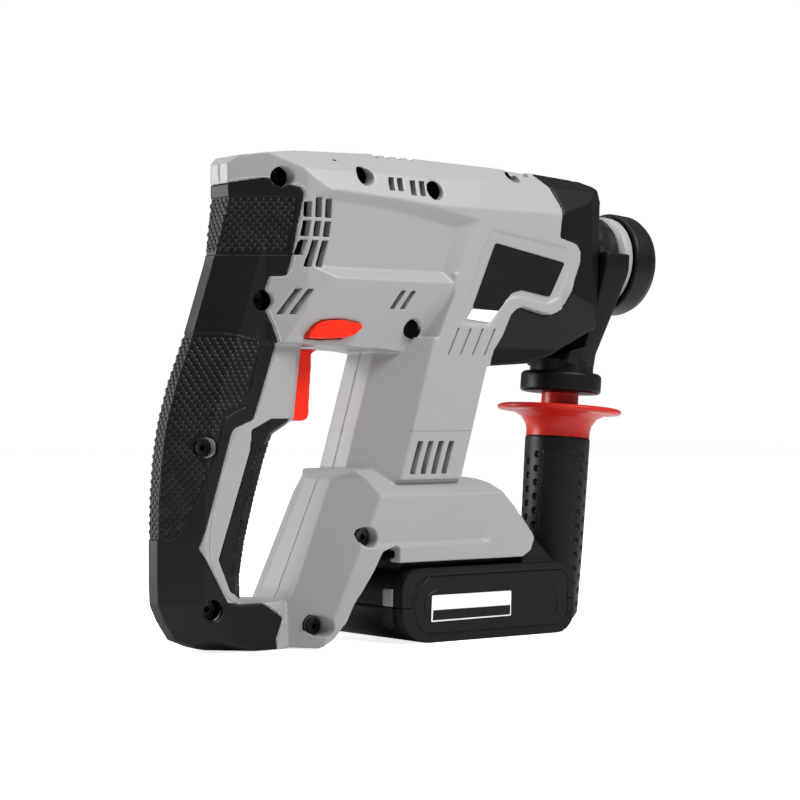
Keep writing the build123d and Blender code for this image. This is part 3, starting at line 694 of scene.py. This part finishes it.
def slot_shade_sheets(turn):
    """Painted shade as one piece: dark sheets a little wider than the slots at their bottoms, and one on
    the top pocket's floor.
    """
    shade_pieces = []
    for outline, depth, level in wall_slots():
        if level:
            wide = [(x + out, z) for (x, z), out in zip(outline, (-0.3, 0.3, 0.3, -0.3))]
            shade_pieces.append(plate(wide, (level - 0.8) * turn, level * turn))
    floor = disc(*TOP_POCKET, TOP_POCKET_R + 0.2)
    shade_pieces.append(plate(floor, (TOP_POCKET_DEPTH - 0.2) * turn, (TOP_POCKET_DEPTH + 1) * turn))
    return joined(shade_pieces)


class HAMMER_OT_shell(bpy.types.Operator):
    """Housing halves with rounded edges, and the raised lip along the soft grip"""
    bl_idname = "hammer.shell"
    bl_label = "Housing"

    def execute(self, context):
        trees = []
        for side, turn in SIDES:
            obj = moulded_copy("housing_" + side, context.scene.hammer_shell.voxel / MM)
            cutters = [plate(outline, depth * turn, BEYOND * turn)
                       for outline, depth, level in wall_slots()]
            joint = laid_on([skin(obj)], even_path(LEG_JOINT, 1.0), turn, 0.05, 9)
            cutters.append(bead(joint, 0.36, "joint"))
            pocket = disc(*TOP_POCKET, TOP_POCKET_R)
            cutters.append(plate(pocket, TOP_POCKET_DEPTH * turn, BEYOND * turn))
            cut_by(obj, joined(cutters))
            finish_piece(obj, "shell_" + side, "shell", "tool", "housing_" + side)
            trees.append(skin(obj))
            # Painted shade: dark sheets at the bottoms of the slots and the top pocket.
            finish_piece(slot_shade_sheets(turn), "slot_shade_sheets_" + side, "hole", "tool")
        path = even_path(offset_path(rounded_path(SOFT_SEAM), 1.1), 1.0)
        for side, turn in SIDES:
            lip = bead(laid_on(trees, path, turn, -0.1, 3), 0.5, "lip")
            finish_piece(lip, "shell_lip_" + side, "shell", "tool")
        return {"FINISHED"}


# ---- soft parts and recesses ----

UPPER_FIELD = [(-175, 208), (-85.2, 208), (-89.8, 181), (-175, 181)]
LOWER_FIELD = [(-160, 145.6), (-118, 145.1), (-99.5, 141.4), (-108.8, 111.6), (-120.1, 106.6),
               (-123.9, 92.1), (-138.2, 56.4), (-142, 52), (-160, 50.4)]
PAD_FIELD = [(-102.7, 94.5), (-80, 98), (-80, 28), (-112.2, 30.4), (-116.7, 42)]
GRIP_SCREW = (-129, 93.2)
SCREWS = [(-91.5, 217.5, 9), (-100, 160.5, 9), (*GRIP_SCREW, 9), (-126.6, 19.9, 9), (-49, 220, 16),
          (-9, 215.4, 16), (-53, 51, 28), (-77.7, 10.9, 24)]  # x, z and the level of the head's seat
BLIND_HOLE = (-19.3, 149.2, 24)  # the same for the hole without a screw
RECESS_R = 4.62
RIM_PROBE = 5.6  # radius at which a recess's rim is felt
SCREW_CLEAR = 6.2  # radius without studs round the screw
STUD_HEIGHT = 0.55


def recess_shade_sleeve(trees, x, z, seat, turn):
    """Painted shade: a dark sleeve inside a recess, from its seat to just under the lowest point of its
    rim.
    """
    level = 60.0
    for step in range(8):
        angle = math.radians(45 * step)
        spot = Vector((x + RIM_PROBE * math.cos(angle), turn * 60, z + RIM_PROBE * math.sin(angle))) * MM
        hits = [tree.ray_cast(spot, Vector((0, -turn, 0)), 0.06)[0] for tree in trees]
        levels = [abs(hit.y) / MM for hit in hits if hit]
        level = min([level] + ([max(levels)] if levels else []))
    deselect()
    bpy.ops.mesh.primitive_circle_add(vertices=28, radius=RECESS_R * MM, fill_type="NOTHING",
                                      location=Vector((x, turn * (seat + 0.1), z)) * MM,
                                      rotation=(math.radians(90), 0, 0))
    obj = bpy.context.object
    edit_all()
    bpy.ops.mesh.extrude_region_move(
        TRANSFORM_OT_translate={"value": (0, turn * max(1.0, level - 0.35 - seat) * MM, 0)})
    bpy.ops.mesh.select_all(action="SELECT")
    bpy.ops.mesh.normals_make_consistent(inside=False)
    bpy.ops.object.mode_set(mode="OBJECT")
    apply_modifier(obj, "SOLIDIFY", thickness=0.3 * MM, offset=1.0)
    return obj


def studded(obj, name, field, way, reach, inset, size=1.0):
    """Rows of low studs on one side of a grip, inside a field and inset mm from its rim."""
    rubber = bpy.context.scene.hammer_rubber
    tree = skin(obj)
    step = rubber.stud_step / MM * size
    row = step * 0.54
    low = min(z for x, z in field)
    high = max(z for x, z in field)
    places = []
    for i in range(int((high - low) / row)):
        height = low + row * (i + 0.5)
        start = Vector((way * 0.3, 0, height * MM))
        hit, normal, index, distance = tree.ray_cast(start, Vector((-way, 0, 0)))
        if not hit:
            continue
        middle = hit.x / MM - way * 20
        for point, facing in girth(tree, height, middle, way, reach, step, step / 2 * (i % 2)):
            x, z = point.x / MM, point.z / MM
            clear = (Vector((x, z)) - Vector(GRIP_SCREW)).length > SCREW_CLEAR
            if clear and inside(field, x, z) and rim_distance(field, x, z) > inset:
                places.append(on_surface(point, facing))
    studs = strewn(stud(rubber.stud_radius / MM * size, STUD_HEIGHT * size), places)
    finish_piece(studs, name, "rubber", "tool")


class HAMMER_OT_soft_parts(bpy.types.Operator):
    """Soft grip with its studded fields, finger pad, front pad and the dark sleeves of painted shade in the
    recesses
    """
    bl_idname = "hammer.soft_parts"
    bl_label = "Soft grips"

    def execute(self, context):
        covers = {}
        for node, voxel, fields, depth in (("soft_grip", 0.6, [UPPER_FIELD, LOWER_FIELD], 0.5),
                                           ("finger_pad", 0.5, [PAD_FIELD], 0.4),
                                           ("front_pad", 0.5, [], 0.0)):
            obj = moulded_copy(node, voxel, shape=lambda piece: sink(piece, fields, depth))
            finish_piece(obj, "cover_" + node, "rubber", "tool", node)
            covers[node] = obj
        grip = skin(covers["soft_grip"])
        path = even_path(rounded_path(LOWER_FIELD[1:-1], 1), 1.0)
        for side, turn in SIDES:
            ridge = bead(laid_on([grip], path, turn, -0.1, 3), 0.42, "ridge")
            finish_piece(ridge, "grip_ridge_" + side, "rubber", "tool")
        outer = [grip] + [skin(bpy.data.objects["shell_" + side]) for side, turn in SIDES]
        for side, turn in SIDES:
            # Painted shade: dark sleeves on the inner walls of the screw recesses.
            shade_pieces = [recess_shade_sleeve(outer, x, z, seat, turn) for x, z, seat in SCREWS]
            if side == "right":
                x, z, seat = BLIND_HOLE
                shade_pieces.append(recess_shade_sleeve(outer, x, z, seat, turn))
                # Painted shade: a dark disc on the floor of the blind hole.
                shade_pieces.append(plate(disc(x, z, RECESS_R - 0.02), (seat - 1.0) * turn, (seat + 0.2) * turn))
            finish_piece(joined(shade_pieces), "recess_shade_sleeves_" + side, "hole", "tool")
        studded(covers["soft_grip"], "grip_studs_upper", UPPER_FIELD, -1, 122, 1.2)
        studded(covers["soft_grip"], "grip_studs_lower", LOWER_FIELD, -1, 138, 1.5)
        studded(covers["finger_pad"], "pad_studs", PAD_FIELD, 1, 100, 0.9, 0.66)
        return {"FINISHED"}


# ---- gear case, side plate and battery ----

RATING_PLATE = [(26.6, 191.9), (71.6, 184), (61.6, 166.6), (43.2, 169.5), (36.8, 167.8), (28.5, 158.7),
                (12, 159.7)]
RATING_FOOT = [(12, 159.2), (28.5, 158.7), (24.6, 152.7), (8.3, 154.3)]
PLATE_BACK = -31.7
BATTERY_FACE = 38.1  # level of the battery's side panels
BATTERY_PLATE = [(-17.6, 22.4), (31.4, 22.3), (31.1, 10.2), (-18.2, 9.9)]
BATTERY_BAND = [(-17.0, 15.4), (30.7, 15.4), (30.5, 10.8), (-17.4, 10.6)]
BATTERY_ARCS = ([(-19.1, 31.3), (-25.7, 25.4), (-28.7, 18.5), (-26.9, 11.4), (-22.1, 4.9)],
                [(-14.9, 24.9), (-20.3, 22.8), (-22.7, 17.3), (-20.3, 11.4)],
                [(57, 24.3), (60.9, 19.6), (61.9, 16.1), (60.9, 11.2), (57, 7)])
CLIP = [(-36.6, 17.6), (-36.6, 25), (-35.2, 26.2), (-35.2, 17.6)]
CLIP_FOOT = [(-36.4, 7.5), (-36.4, 17.2), (-35.2, 17.2), (-35.2, 7.5)]
CLIP_LEVELS = (24.5, 31.5)


class HAMMER_OT_case(bpy.types.Operator):
    """Gear case"""
    bl_idname = "hammer.case"
    bl_label = "Gear case"

    def execute(self, context):
        obj = moulded_copy("gear_case")
        for side, turn in SIDES:
            cut_by(obj, pocket_cutter(91.5, 17 * turn, 225, 3.7, 9))
        finish_piece(obj, "gear_case_cover", "case", "tool", "gear_case")
        return {"FINISHED"}


class HAMMER_OT_side_plate(bpy.types.Operator):
    """Bare rating plate on the right side, black above and white below"""
    bl_idname = "hammer.side_plate"
    bl_label = "Side plate"

    def execute(self, context):
        black = plate(RATING_PLATE, PLATE_BACK, PLATE_BACK - 0.75, 1.4)
        finish_piece(black, "rating_plate", "label", "tool")
        white = plate(RATING_FOOT, PLATE_BACK, PLATE_BACK - 0.7, 1.0)
        finish_piece(white, "rating_plate_foot", "white", "tool")
        return {"FINISHED"}


def level_panel(obj):
    """Sets a side panel's face a little below the battery's sides."""
    for vertex in obj.data.vertices:
        if abs(vertex.co.y) > BATTERY_FACE * MM:
            vertex.co.y = math.copysign(BATTERY_FACE * MM, vertex.co.y)


class HAMMER_OT_battery(bpy.types.Operator):
    """Battery shell, side panels with their bare plates, rear clips and latch button"""
    bl_idname = "hammer.battery"
    bl_label = "Battery"

    def execute(self, context):
        for node, name, look, body, slot in (
                ("battery_case", "battery_tray", "battery", "tool", "battery_plastic"),
                ("battery_cover", "battery_lid", "battery", "tool", "battery_plastic"),
                ("battery_trim_left", "battery_panel_left", "panel", "tool", "battery_plastic"),
                ("battery_trim_right", "battery_panel_right", "panel", "tool", "battery_plastic"),
                ("latch_button", "latch_key", "red", "latch_body", "red_plastic")):
            obj = moulded_copy(node, 0.6, 3, 0.3, level_panel if look == "panel" else None)
            finish_piece(obj, name, look, body, node)
        for side, turn in SIDES:
            low, face = (BATTERY_FACE - 0.2) * turn, BATTERY_FACE * turn
            runs = [[Vector((place.x, face, place.y)) * MM
                     for place in even_path(rounded_path(arc, 3), 0.8)] for arc in BATTERY_ARCS]
            clip_low, clip_high = (level * turn for level in CLIP_LEVELS)
            for name, look, piece in (
                    ("plate", "white", plate(BATTERY_PLATE, low, (BATTERY_FACE + 0.2) * turn, 0.6)),
                    ("band", "label", plate(BATTERY_BAND, low, (BATTERY_FACE + 0.32) * turn, 0.3)),
                    ("ridges", "panel", bead(runs, 0.32, "ridge")),
                    ("clip", "ring", plate(CLIP, clip_low, clip_high, 0.25)),
                    ("clip_foot", "battery", plate(CLIP_FOOT, clip_low, clip_high, 0.25))):
                finish_piece(piece, "battery_" + name + "_" + side, look, "tool")
        return {"FINISHED"}


# ---- controls, chuck and side handle ----

TRIGGER_OUT = 2.3  # how far the trigger's front face comes forward
GRIP_TOP, GRIP_R, GRIP_TAPER = -95, 17.5, 0.0156  # side grip's upper end, its radius and loss per mm
PANEL_LOW, PANEL_HIGH = -176, -101  # ends of its raised panels along its axis
PANEL_MIDDLES, PANEL_HALF = (235, 55), 31  # angles of the panels' middles, and half their width
PANEL_RISE = 0.4
DIMPLE_TOP = -103.5  # first dimple of a row along the axis
DIMPLE_STEP = 7.2  # from one dimple to the next in a row
DIMPLE_TURN = 21  # degrees between rows
DIMPLE_R = 2.0


def fuller(obj):
    """Brings the trigger's front face a little further out."""
    for vertex in obj.data.vertices:
        x, z = vertex.co.x / MM, vertex.co.z / MM
        below = max(0.0, min(1.0, (137.5 - z) / 5))
        ahead = max(0.0, min(1.0, (x + 84) / 6))
        vertex.co.x += TRIGGER_OUT * below * ahead * MM


class HAMMER_OT_controls(bpy.types.Operator):
    """Trigger, direction slider and mode knob"""
    bl_idname = "hammer.controls"
    bl_label = "Controls"

    def execute(self, context):
        for node, name, look, body, slot, passes in (
                ("trigger", "trigger_lever", "red", "trigger_body", "red_plastic", 8),
                ("direction_slider", "direction_key", "red", "slider_body", "red_plastic", 6),
                ("mode_knob", "mode_dial", "case", "knob_body", "black_plastic", 3),
                ("knob_button", "dial_release", "red", "knob_button_body", "red_plastic", 2)):
            obj = moulded_copy(node, 0.45, passes, 0.3, fuller if node == "trigger" else None)
            finish_piece(obj, name, look, body, node)
        return {"FINISHED"}


class HAMMER_OT_chuck(bpy.types.Operator):
    """Guide ring, locking sleeve and dust cap"""
    bl_idname = "hammer.chuck"
    bl_label = "Chuck"

    def execute(self, context):
        for node, name, look, body, slot, width in (
                ("guide_ring", "guide_collar", "ring", "spindle_set", "grey_metal", 0.5),
                ("locking_sleeve", "sleeve_cover", "rubber", "sleeve_body", "sleeve_rubber", 0.8),
                ("dust_cap", "cap_cover", "rubber", "spindle_set", "black_rubber", 0.6)):
            obj = merged_copy(node)
            apply_modifier(obj, "BEVEL", limit_method="ANGLE", angle_limit=math.radians(24),
                           width=width * MM, segments=3, use_clamp_overlap=True)
            finish_piece(obj, name, look, body, node, smooth=24)
        return {"FINISHED"}


def around(r, angle, radius):
    """Point on the side grip, r mm along its axis, angle degrees round it and radius mm out.

    Returns (point, its way out).
    """
    turn = math.radians(angle)
    away = FORWARD * math.cos(turn) + Vector((0, math.sin(turn), 0))
    return at(HANG, r) + away * radius * MM, away


def polar(co):
    """(r along the side grip's axis, angle round it, radius), in mm and degrees."""
    local = co - at(HANG, 0)
    along, ahead = local.dot(UPWARD), local.dot(FORWARD)
    return along / MM, math.degrees(math.atan2(local.y, ahead)) % 360, math.hypot(ahead, local.y) / MM


def panelled(obj):
    """Two smooth raised panels along the side grip."""
    for vertex in obj.data.vertices:
        r, angle, radius = polar(vertex.co)
        off = min(abs(angle - middle) for middle in PANEL_MIDDLES)
        if PANEL_LOW < r < PANEL_HIGH and radius > 12 and off < PANEL_HALF:
            vertex.co += around(r, angle, 1)[1] * PANEL_RISE * MM


def dimples():
    """Balls that cut the dimples: five rows of eleven on either side of the side grip's panels."""
    deselect()
    bpy.ops.mesh.primitive_uv_sphere_add(segments=12, ring_count=8, radius=DIMPLE_R * MM)
    ball = bpy.context.object
    places = []
    for start, turn in ((191, -1), (279, 1)):
        for column in range(5):
            for i in range(11):
                r = DIMPLE_TOP - DIMPLE_STEP * i - DIMPLE_STEP / 2 * (column % 2)
                radius = GRIP_R - GRIP_TAPER * (GRIP_TOP - r)
                places.append(on_surface(*around(r, start + DIMPLE_TURN * column * turn, radius)))
    return strewn(ball, places)


class HAMMER_OT_side_handle(bpy.types.Operator):
    """Clamp saddle, base disc, guard and side grip with its rows of dimples"""
    bl_idname = "hammer.side_handle"
    bl_label = "Side handle"

    def execute(self, context):
        saddle = rounded_copy("clamp_saddle", 1.2)
        finish_piece(saddle, "saddle_cover", "case", "side_handle", "clamp_saddle")
        guard = rounded_copy("guard", 0.6)
        finish_piece(guard, "guard_cover", "guard", "side_grip_body", "guard")
        base = moulded_copy("base_disc", 0.5, 6, 0.4)
        finish_piece(base, "disc_cover", "case", "side_handle", "base_disc")
        grip = moulded_copy("side_grip", 0.5, 2, 0.5, panelled)
        cut_by(grip, dimples())
        finish_piece(grip, "side_grip_cover", "rubber", "side_grip_body", "side_grip")
        return {"FINISHED"}


class HAMMER_OT_inner_parts(bpy.types.Operator):
    """Finishes of the drive, motor, screws and other carried parts"""
    bl_idname = "hammer.inner_parts"
    bl_label = "Inner parts"

    def execute(self, context):
        for look, names in CAD_FINISH.items():
            for name in names:
                mesh = nodes[name].data
                mesh.materials.clear()
                mesh.materials.append(finish(look))
        return {"FINISHED"}


# ---- stage ----

LAMPS = (  # name, place, aim, size and power
    ("rear_box", (-1.15, 0.95, 0.34), (0.0, 0.0, 0.12), (0.8, 0.9), 27),
    ("side_box", (0.25, -0.75, 1.0), (0.0, 0.0, 0.16), (0.7, 0.5), 16),
    ("top_box", (-0.1, 0.1, 1.35), (0.0, 0.0, 0.1), (1.0, 0.7), 10))
EYE = (-0.6530, -0.8442, 0.1093)
EYE_TURN = (90.317, 0, -37.4)


def floor_material(stage):
    """Pale finish that also shines to the camera, so that the floor and the backdrop read as one."""
    pale = finish_material("Pale floor", stage.floor_color, 0.95, 0.6, grain=60, drift=0.01, wear=0.0)
    tree = pale.node_tree
    shader = tree.nodes["Principled BSDF"]
    shader.inputs["Emission Color"].default_value = (1, 1, 1, 1)
    seen = tree.nodes.new("ShaderNodeLightPath").outputs["Is Camera Ray"]
    link(tree, maths(tree, "MULTIPLY", seen, stage.floor_glow), shader.inputs["Emission Strength"])
    return pale


def studio_world(fill):
    """World that is white to the camera and lights the scene with strength fill."""
    world = bpy.data.worlds.new("studio")
    world.use_nodes = True
    tree = world.node_tree
    background = tree.nodes["Background"]
    background.inputs["Color"].default_value = (1, 1, 1, 1)
    seen = tree.nodes.new("ShaderNodeLightPath").outputs["Is Camera Ray"]
    extra = maths(tree, "MULTIPLY", seen, 1.0 - fill)
    link(tree, maths(tree, "ADD", extra, fill), background.inputs["Strength"])
    return world


class HAMMER_OT_stage(bpy.types.Operator):
    """Pale floor and backdrop, soft light and the camera"""
    bl_idname = "hammer.stage"
    bl_label = "Stage"

    def execute(self, context):
        stage = context.scene.hammer_stage
        deselect()
        bpy.ops.mesh.primitive_plane_add(size=1)
        floor = context.object
        floor.name = "floor"
        edit_all()
        bpy.ops.transform.resize(value=(9, 9, 1))
        bpy.ops.object.mode_set(mode="OBJECT")
        floor.data.materials.append(floor_material(stage))
        context.scene.world = studio_world(stage.fill)
        for name, place, aim, size, power in LAMPS:
            light = bpy.data.lights.new(name, "AREA")
            light.shape = "RECTANGLE"
            light.size, light.size_y = size
            light.energy = power * stage.light
            lamp = bpy.data.objects.new(name, light)
            context.scene.collection.objects.link(lamp)
            lamp.location = place
            lamp.rotation_euler = (Vector(aim) - Vector(place)).to_track_quat("-Z", "Y").to_euler()
        camera = bpy.data.cameras.new("camera")
        camera.lens = stage.lens
        camera.sensor_width = 36
        camera.clip_start = 0.05
        eye = bpy.data.objects.new("camera", camera)
        context.scene.collection.objects.link(eye)
        eye.location = EYE
        eye.rotation_euler = [math.radians(angle) for angle in EYE_TURN]
        context.scene.camera = eye
        context.scene.view_settings.view_transform = "Standard"
        return {"FINISHED"}


class HAMMER_PT_panel(bpy.types.Panel):
    """Settings and steps of the rotary hammer"""
    bl_label = "Rotary Hammer"
    bl_idname = "HAMMER_PT_panel"
    bl_space_type = "VIEW_3D"
    bl_region_type = "UI"
    bl_category = "Rotary Hammer"

    def draw(self, context):
        layout = self.layout
        for group, kind in SETTINGS:
            for name in kind.__annotations__:
                layout.prop(getattr(context.scene, group), name)
        for step in STEPS:
            layout.operator(step.bl_idname)


SETTINGS = (("hammer_shell", ShellSettings), ("hammer_rubber", RubberSettings),
            ("hammer_stage", StageSettings))
STEPS = (HAMMER_OT_shell, HAMMER_OT_soft_parts, HAMMER_OT_case, HAMMER_OT_side_plate, HAMMER_OT_battery,
         HAMMER_OT_controls, HAMMER_OT_chuck, HAMMER_OT_side_handle, HAMMER_OT_inner_parts, HAMMER_OT_stage)


def register():
    """Adds the settings, the steps and the panel."""
    for name, group in SETTINGS:
        bpy.utils.register_class(group)
        setattr(bpy.types.Scene, name, PointerProperty(type=group))
    for step in STEPS:
        bpy.utils.register_class(step)
    bpy.utils.register_class(HAMMER_PT_panel)


def unregister():
    """Takes them away again."""
    bpy.utils.unregister_class(HAMMER_PT_panel)
    for step in reversed(STEPS):
        bpy.utils.unregister_class(step)
    for name, group in reversed(SETTINGS):
        delattr(bpy.types.Scene, name)
        bpy.utils.unregister_class(group)


def main():
    """Builds the whole scene."""
    register()
    bpy.ops.hammer.shell()
    bpy.ops.hammer.soft_parts()
    bpy.ops.hammer.case()
    bpy.ops.hammer.side_plate()
    bpy.ops.hammer.battery()
    bpy.ops.hammer.controls()
    bpy.ops.hammer.chuck()
    bpy.ops.hammer.side_handle()
    bpy.ops.hammer.inner_parts()
    bpy.ops.hammer.stage()


if __name__ == "__main__":
    main()
